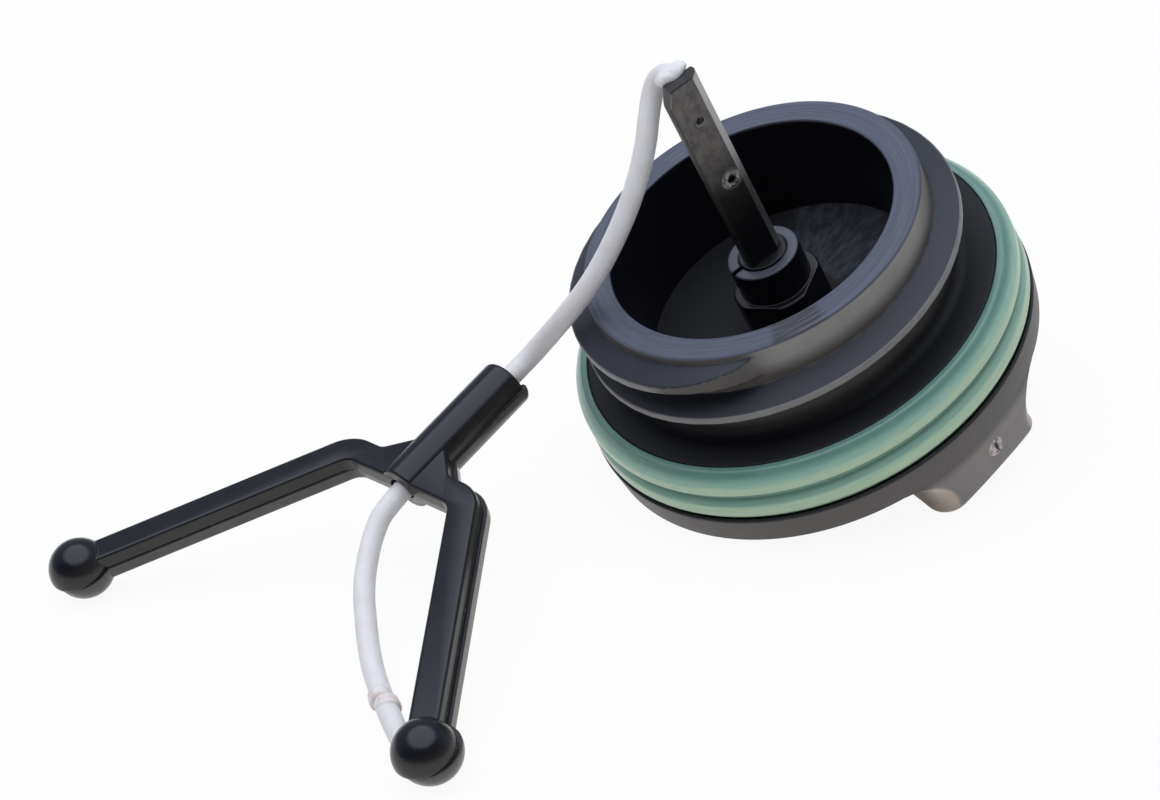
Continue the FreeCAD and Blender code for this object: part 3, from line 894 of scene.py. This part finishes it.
side = stem_half_width
bar_corners = [
    (-side, -stem_front, stem_round),
    (side - stem_chamfer, -stem_front, stem_round),
    (side, stem_chamfer - stem_front, stem_round),
    (side, stem_back, stem_round),
    (-side, stem_back, stem_round),
]
section = rounded(bar_corners, 3)
loops = []
for row in range(41):
    z = stem_low + (stem_top - stem_low) * row / 40
    loops.append([Vector((p.x, p.y, z)) for p in section])
stem = loops_mesh("stem", loops, stem_place)
clip_lean = Matrix.Rotation(-math.atan2(-stem_clip_height, -stem_clip), 4, "Y")
clip_turn = stem_place @ at(stem_clip - side, 0, stem_top) @ clip_lean
clip_reach = 9.0
clip_end = (clip_reach, clip_reach, -clip_reach)
combine(stem, block("clip", (-clip_reach, -clip_reach, 0), clip_end, clip_turn), "DIFFERENCE")

# Its own gate mark is a torn ring round a hole, and higher up the face has a nick.
ring_x = 0.23
ring_z = 26.55
ring_arc = [(0.38, -0.3), (0.95, -0.3), (0.90, 0.02), (0.74, 0.20), (0.56, 0.18), (0.42, 0.0)]
ring_spot = stem_place @ at(ring_x, -stem_front, ring_z) @ lying
hole_arc = [(0, -0.8), (0.40, -0.8), (0.42, 1), (0, 1)]
combine(stem, lathe("hole", hole_arc, 32, ring_spot), "DIFFERENCE")
ring = lathe("ring", ring_arc, 40, ring_spot)
tear(ring, 0.4, 0.10)
combine(stem, ring, "UNION")
nick_x = -0.03
nick_z = 34.3
nick_arc = [(0, -0.35), (0.28, -0.22), (0.5, 0.1), (0, 0.1)]
nick_lean = Matrix.Rotation(math.radians(5), 4, "Y")
nick = lathe("nick", nick_arc, 24, stem_place @ at(nick_x, -stem_front, nick_z) @ nick_lean @ lying)
tear(nick, 0.7, 0.22)
combine(stem, nick, "DIFFERENCE")

# Its root is round in the collar, with the wider head below.
head_radius = 3.0
root_radius = 2.45
root_low = 9.5
root_head = 11.4
root_top = 16.15
root_corners = [
    (0, root_low, 0),
    (head_radius, root_low, 0.4),
    (head_radius, root_head, 0.1),
    (root_radius, root_head, 0),
    (root_radius, root_top, 0.12),
    (0, root_top, 0),
]
combine(stem, lathe("stem_root", rounded(root_corners), 72, cap_place), "UNION")
smooth(stem, 26)

stem_black = (0.004, 0.004, 0.005)
stem_side = (0.006, 0.006, 0.006)
dirt_dark = (0.085, 0.076, 0.068)
dirt_pale = (0.19, 0.170, 0.152)
bevel_sheen_grey = (0.56, 0.54, 0.51)
stem_worn = (0.46, 0.43, 0.40)
cut_speck = (0.05, 0.045, 0.04)
nick_black = (0.004, 0.004, 0.004)
ring_grey = (0.55, 0.52, 0.49)
swirl_grey = (0.16, 0.145, 0.13)
dull = Finish("stem_plastic")
place = dull.places(stem_place)
soft_normal, edge = dull.edges(0.15)
x, y, z = dull.apart(place)
cloud = dull.noise(place, 1.1, 6, 0.7)
grain = dull.noise(place, 4.0, 5, 0.7)
smear = dull.noise(dull.vector(x * 1.6 + cloud * 2.0, y, z * 0.7), 1.0, 5, 0.7)
worn = dull.band(edge + 0.10 * (cloud - 0.5), 0.015, 0.10)
rubbed = dull.band(z + 3.0 * (cloud - 0.5), 24.5, 31.0)
dirt = dull.blend(dull.band(smear, 0.3, 0.7), dirt_dark, dirt_pale)
tone = dull.blend(rubbed, stem_black, dirt)
# The side turned to the left is painted nearly black over the dirt, a painted shade.
to_left = stem_place.to_3x3() @ Vector((-1, 0, 0))
tone = dull.blend(dull.band(dull.facing(to_left), 0.5, 0.8), tone, stem_side)
# The clipped corner's facet is painted pale grey, a painted sheen, strongest where the bar is rubbed.
to_bevel = stem_place.to_3x3() @ Vector((1, -1, 0)).normalized()
bevelled = dull.band(dull.facing(to_bevel), 0.85, 0.95)
tone = dull.blend(bevelled * (0.15 + 0.85 * rubbed) * (0.5 + smear), tone, bevel_sheen_grey)
tone = dull.blend(worn * (0.55 + 0.40 * rubbed), tone, stem_worn)
cut_tone = dull.blend(dull.band(grain, 0.45, 0.7), stem_side, cut_speck)
tone = dull.blend(dull.band(z, stem_top - 0.3, stem_top - 0.1), tone, cut_tone)
nick_away = (x - nick_x).hypot(z - nick_z) + 0.5 * (grain - 0.5)
tone = dull.blend(dull.band(nick_away, 0.25, 0.5), nick_black, tone)
ring_away = (x - ring_x).hypot(z - ring_z)
in_front = 1 - dull.band(y, -1.1, -0.9)
near_ring = dull.within(ring_away, 0.40, 0.5, 0.95, 1.15) * in_front
tone = dull.blend(near_ring * dull.band(smear * 0.6 + grain * 0.4, 0.46, 0.56), tone, ring_grey)
swirl = (ring_away * 5.0 + smear * 6.0).math("SINE") * (1 - dull.band(ring_away, 1.4, 2.6)) * in_front
tone = dull.blend(dull.band(swirl, 0.5, 1.0) * 0.6, tone, swirl_grey)
dull.set(
    Base_Color=tone,
    Roughness=0.30 + 0.25 * cloud,
    Normal=dull.bump(grain * 0.5 + cloud + smear, 0.06, soft_normal),
)
dull.paint(stem)
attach(stem, "swivel")
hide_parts("swivel_stem")

# The cord's own end is melted over the stem's end as a flat white pad.
pad_spot = stem_place @ at(0.15, 1.05, stem_top + 0.05)
pad_shape = Matrix.Diagonal((1.75, 1.05, 0.72, 1))
pad_arc = [(math.sin(math.pi * step / 24), -math.cos(math.pi * step / 24)) for step in range(25)]
pad = lathe("cord_pad", pad_arc, 48, pad_spot @ pad_shape)
tear(pad, 0.9, 0.16)
smooth(pad, 80)
nylon.paint(pad)
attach(pad, "swivel")


# Anchor fork: black moulding from a two-part mould whose halves sit a little out of line.
# Two arms end in balls, and the sleeve between them slides and turns on the cord.
sleeve_axis = Vector(joints["fork_spin"]["axis"]).normalized()
sideways = Vector((0, 0, 1)).cross(sleeve_axis).normalized()
fork_turn = Matrix((sleeve_axis, sideways, sleeve_axis.cross(sideways))).transposed().to_4x4()
fork_place = Matrix.Translation(Vector(joints["fork_spin"]["pos_m"])) @ fork_turn
ball_radius = 3.1
ball_spread = 26.07
arm_width = 3.2
arm_half = 1.5
arm_slope = 0.74
arm_edge = 0.35
crotch_inner = 22.5
crotch_width = 2.9
web_reach = 2.7
web_spread = 4.9
sleeve_radius = 2.5
sleeve_end = 38.3
bore_radius = 1.35
bore_start = 11.0
bore_mouth = 2.0
parting_inset = 0.10
parting_height = 0.14
parting_overlap = 0.2
face_inset = 0.06
groove_depth = 0.07
groove_half = 0.16
half_shift = Vector((0.3, -0.3, 0)) * MM

lean = math.hypot(1, arm_slope)
off_x = arm_width / 2 * arm_slope / lean
off_y = arm_width / 2 / lean
crotch_outer = crotch_inner + crotch_width
outer_y = ball_spread + off_y - arm_slope * (crotch_outer - off_x)
inner_y = ball_spread - off_y - arm_slope * (crotch_inner + off_x)
one_arm = [
    (crotch_inner, inner_y, 2.0),
    (-off_x, ball_spread - off_y, 0),
    (off_x, ball_spread + off_y, 0),
    (crotch_outer, outer_y, 4.5),
    (crotch_outer, web_spread, 1.2),
    (crotch_outer + web_reach, sleeve_radius - 0.8, 0),
]
fork_outline = rounded(one_arm + [(x, -y, r) for x, y, r in reversed(one_arm)], 10)
along_x = Matrix.Rotation(math.radians(90), 4, "Y")


def moved_out(points, distance):
    """The outline moved out by a small distance."""
    moved = []
    for index, point in enumerate(points):
        before = (point - points[index - 1]).normalized()
        after = (points[(index + 1) % len(points)] - point).normalized()
        way = before + after
        normal = Vector((-way.y, way.x)).normalized()
        moved.append(point + normal * distance / max(0.5, normal.dot(Vector((-before.y, before.x)))))
    return moved


def fork_half(side):
    """The moulding above (+1) or below (-1) the parting plane."""
    levels = [(0.0, parting_inset), (parting_height, 0.0)]
    if side > 0:
        levels.insert(0, (-parting_overlap, parting_inset))
    for step in range(6):
        angle = math.radians(90 * step / 5)
        inset = face_inset + arm_edge * (1 - math.cos(angle))
        levels.append((arm_half - arm_edge * (1 - math.sin(angle)), inset))
    loops = []
    for height, inset in levels:
        loops.append([Vector((p.x, p.y, side * height)) for p in moved_out(fork_outline, -inset)])
    part = loops_mesh("fork", loops, fork_place)
    sleeve_corners = [
        (0, crotch_inner + 0.1, 0),
        (sleeve_radius, crotch_inner + 0.1, 0.3),
        (sleeve_radius, sleeve_end, 0.5),
        (0, sleeve_end, 0),
    ]
    combine(part, lathe("sleeve", rounded(sleeve_corners), 96, fork_place @ along_x), "UNION")
    for arm in (-1, 1):
        arc = []
        for step in range(65):
            angle = math.pi * step / 64 - math.pi / 2
            height = ball_radius * math.sin(angle)
            groove = groove_depth * max(0.0, 1 - abs(height) / groove_half)
            arc.append(((ball_radius - groove) * math.cos(angle), height))
        ball_place = fork_place @ at(0, arm * ball_spread, 0)
        combine(part, lathe("ball", arc, 96, ball_place), "UNION")
    # The other side of the parting plane goes, but for a hair that joins the halves.
    hair = 0.01
    far = 60.0
    low, high = (-far, -hair) if side > 0 else (hair, far)
    combine(part, block("beyond", (-far, -far, low), (far, far, high), fork_place), "DIFFERENCE")
    if side < 0:
        part.data.transform(Matrix.Translation(fork_turn.to_3x3() @ half_shift))
    return part


fork = fork_half(1)
combine(fork, fork_half(-1), "UNION")
past_end = sleeve_end + 0.3
bore_corners = [
    (0, bore_start, 0),
    (bore_radius, bore_start, 0),
    (bore_radius, sleeve_end - 0.5, 0.4),
    (bore_mouth, past_end, 0),
    (0, past_end, 0),
]
combine(fork, lathe("bore", rounded(bore_corners), 64, fork_place @ along_x), "DIFFERENCE")
smooth(fork, 32)

fork_dark = (0.005, 0.006, 0.010)
fork_pale = (0.010, 0.012, 0.018)
low_wall_table_sheen = (0.130, 0.118, 0.105)
high_wall_table_sheen = (0.040, 0.034, 0.029)
fleck_glint_grey = (0.40, 0.39, 0.38)
mould = Finish("fork_plastic")
place = mould.places(fork_place)
soft_normal, edge = mould.edges(0.14)
z = mould.apart(place)[2]
cloud = mould.noise(place, 0.35, 5, 0.6)
grain = mould.noise(place, 2.2, 5, 0.7)
flecks = mould.noise(place, 0.9, 2, 0.5)
worn = mould.band(edge + 0.05 * (cloud - 0.5), 0.05, 0.25)
flat = mould.facing(sleeve_axis.cross(sideways)).math("ABSOLUTE")
walls = 1 - mould.band(flat, 0.3, 0.8)
tone = mould.blend(cloud, fork_dark, fork_pale)
# The side walls are painted brown-grey, a painted reflection of the table, paler below the parting
# line and darker above it.
wall_sheen_tone = mould.blend(mould.band(z, -0.1, 0.0), low_wall_table_sheen, high_wall_table_sheen)
tone = mould.blend(walls * (0.3 + cloud), tone, wall_sheen_tone)
# Edges are flecked pale grey, partly wear and partly painted glints.
tone = mould.blend(worn * mould.band(flecks, 0.60, 0.68), tone, fleck_glint_grey)
mould.set(
    Base_Color=tone,
    Roughness=0.16 + 0.12 * cloud,
    Normal=mould.bump(grain, 0.007, soft_normal),
    IOR=1.42,
)
mould.paint(fork)
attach(fork, "fork")
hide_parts("anchor_fork")


# The table: a white sheet that runs out of view. It shows white to the view and in gloss,
# and keeps the object's soft shadow.
floor_half = 1.5
floor_white = 0.93
floor_paper = (0.90, 0.87, 0.83, 1)
mesh = bmesh.new()
bmesh.ops.create_grid(mesh, x_segments=1, y_segments=1, size=floor_half)
data = bpy.data.meshes.new("floor")
mesh.to_mesh(data)
mesh.free()
floor = link("floor", data)
sheet = Finish("sheet")
paper = sheet.node("ShaderNodeBsdfDiffuse", {}, {"Color": floor_paper}, "BSDF")
glow = sheet.node("ShaderNodeEmission", {}, {"Color": (1, 1, 1, 1), "Strength": 1.0}, "Emission")
path = sheet.nodes.nodes.new("ShaderNodeLightPath")
direct = Value(sheet, path.outputs["Is Camera Ray"])
mirrored = Value(sheet, path.outputs["Is Glossy Ray"])
through = Value(sheet, path.outputs["Is Transmission Ray"])
share = (direct + mirrored + through).math("MINIMUM", 1.0) * floor_white
mixed = sheet.node("ShaderNodeMixShader", {}, [share, paper, glow])
sheet.feed(sheet.nodes.nodes["Material Output"].inputs["Surface"], mixed)
sheet.paint(floor)
floor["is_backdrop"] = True


# The room: cool and dim behind, and dark on the side of the view.
# One broad soft lamp hangs above the object.
room_tint = (0.80, 0.86, 1.0)
room_behind = 0.36
room_front = 0.06
world = bpy.data.worlds.new("studio")
bpy.context.scene.world = world
world.use_nodes = True
studio = Tree(world.node_tree)
way = studio.node("ShaderNodeTexCoord", {}, {}, "Generated")
x, y, z = studio.apart(way)
front = studio.band(y * -0.8 - x * 0.6, -0.3, 0.5) * (1 - studio.band(z, 0.6, 0.9))
strength = room_behind - front * (room_behind - room_front)
path = studio.nodes.nodes.new("ShaderNodeLightPath")
seen = Value(studio, path.outputs["Is Camera Ray"])
background = studio.nodes.nodes["Background"]
studio.feed(background.inputs["Color"], studio.blend(seen, room_tint, (1.0, 1.0, 1.0)))
studio.feed(background.inputs["Strength"], strength.math("MAXIMUM", seen))

lamp_place = Vector((-0.03, 0.02, 0.75))
lamp = bpy.data.lights.new("soft_above", "AREA")
lamp.shape = "DISK"
lamp.size = 1.3
lamp.energy = 7.4
lamp.color = (0.86, 0.91, 1.0)
holder = link("soft_above", lamp)
lamp_turn = (-lamp_place).to_track_quat("-Z", "Y").to_matrix().to_4x4()
holder.matrix_world = Matrix.Translation(lamp_place) @ lamp_turn

bpy.context.scene.view_settings.view_transform = "Standard"

low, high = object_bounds()
